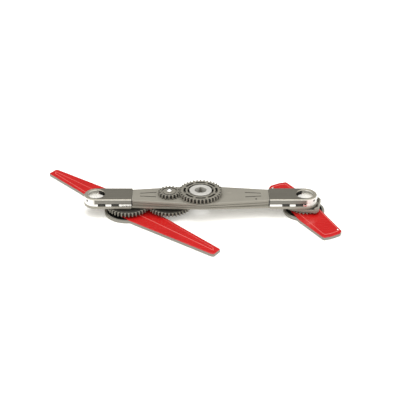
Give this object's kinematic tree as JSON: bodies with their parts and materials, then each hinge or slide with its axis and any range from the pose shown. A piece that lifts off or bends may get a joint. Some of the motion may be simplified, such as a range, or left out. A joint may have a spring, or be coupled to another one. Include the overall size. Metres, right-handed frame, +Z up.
{
  "type": "geared twin-blade swivel arm",
  "caption": "Flat arm with steel end caps and a gear train that turns a long blade under one end; a short blade swivels under the other.",
  "frame": {"origin": "centre of the object's box at the floor it lies on", "axes": "+X along the arm towards the short blade, +Y towards the far side, +Z up"},
  "size_m": [0.2602, 0.146, 0.0224],
  "materials": {
    "shell_plastic": "warm grey moulded, fine texture",
    "gear_plastic": "warm dark grey moulded, satin",
    "cap_steel": "brushed along the arm, polished at the bevels",
    "polished_steel": "polished",
    "hub_steel": "light satin, turned",
    "red_gloss": "gloss red",
    "pad_rubber": "matt black",
    "bearing_bronze": "turned sintered bronze"
  },
  "bodies": {
    "arm": {"upper_shell": "shell_plastic", "lower_shell": "shell_plastic", "left_end_cap": "cap_steel", "right_end_cap": "cap_steel", "left_eye_liner": "polished_steel", "right_eye_liner": "polished_steel", "drive_hub": "hub_steel", "hub_lock_ring": "cap_steel", "shell_screw_1": "polished_steel", "shell_screw_2": "polished_steel", "shell_screw_3": "polished_steel", "shell_screw_4": "polished_steel", "sun_washer": "hub_steel", "idler_lower_bush": "bearing_bronze", "idler_upper_bush": "bearing_bronze", "long_blade_bush": "bearing_bronze", "short_blade_pivot": "polished_steel", "short_blade_retaining_ring": "cap_steel", "bracket_spacer": "hub_steel"},
    "sun": {"sun_gear": "gear_plastic", "sun_bush": "bearing_bronze"},
    "idler": {"pinion": "gear_plastic", "idler_shaft": "polished_steel", "idler_gear": "gear_plastic", "idler_washer": "hub_steel", "idler_retaining_ring": "cap_steel"},
    "long_blade": {"long_blade_gear": "gear_plastic", "long_blade_shaft": "polished_steel", "long_blade_spacer": "gear_plastic", "long_blade_washer": "hub_steel", "long_blade_retaining_ring": "cap_steel", "long_blade_plate": "red_gloss", "long_blade_base": "shell_plastic", "long_blade_pad": "pad_rubber", "long_blade_screw_1": "polished_steel", "long_blade_screw_2": "polished_steel", "long_blade_screw_3": "polished_steel", "long_blade_screw_4": "polished_steel"},
    "short_blade": {"short_blade_plate": "red_gloss", "short_blade_base": "shell_plastic", "short_blade_pad": "pad_rubber", "short_blade_bush": "bearing_bronze", "short_blade_collar": "gear_plastic", "short_blade_rivet_1": "polished_steel", "short_blade_rivet_2": "polished_steel"},
    "bracket": {"swing_bracket": "gear_plastic"}
  },
  "joints": [
    {"name": "long_blade_spin", "type": "hinge", "parent": "arm", "child": "long_blade", "pos_m": [-0.05125, 0, 0.006], "axis": [0, 0, 1], "continuous": true},
    {"name": "idler_spin", "type": "hinge", "parent": "arm", "child": "idler", "pos_m": [-0.01525, 0, 0.006], "axis": [0, 0, 1], "continuous": true},
    {"name": "sun_spin", "type": "hinge", "parent": "arm", "child": "sun", "pos_m": [0.01175, 0, 0.019], "axis": [0, 0, 1], "continuous": true},
    {"name": "short_blade_swivel", "type": "hinge", "parent": "arm", "child": "short_blade", "pos_m": [0.10215, 0, 0.003], "axis": [0, 0, 1], "continuous": true},
    {"name": "bracket_swing", "type": "hinge", "parent": "arm", "child": "bracket", "pos_m": [0.10215, 0, 0.007], "axis": [0, 0, 1], "range_deg": [-60, 85]}
  ],
  "couplings": [
    {"joint": "idler_spin", "follows": "long_blade_spin", "ratio": -1},
    {"joint": "sun_spin", "follows": "long_blade_spin", "ratio": 0.5}
  ]
}
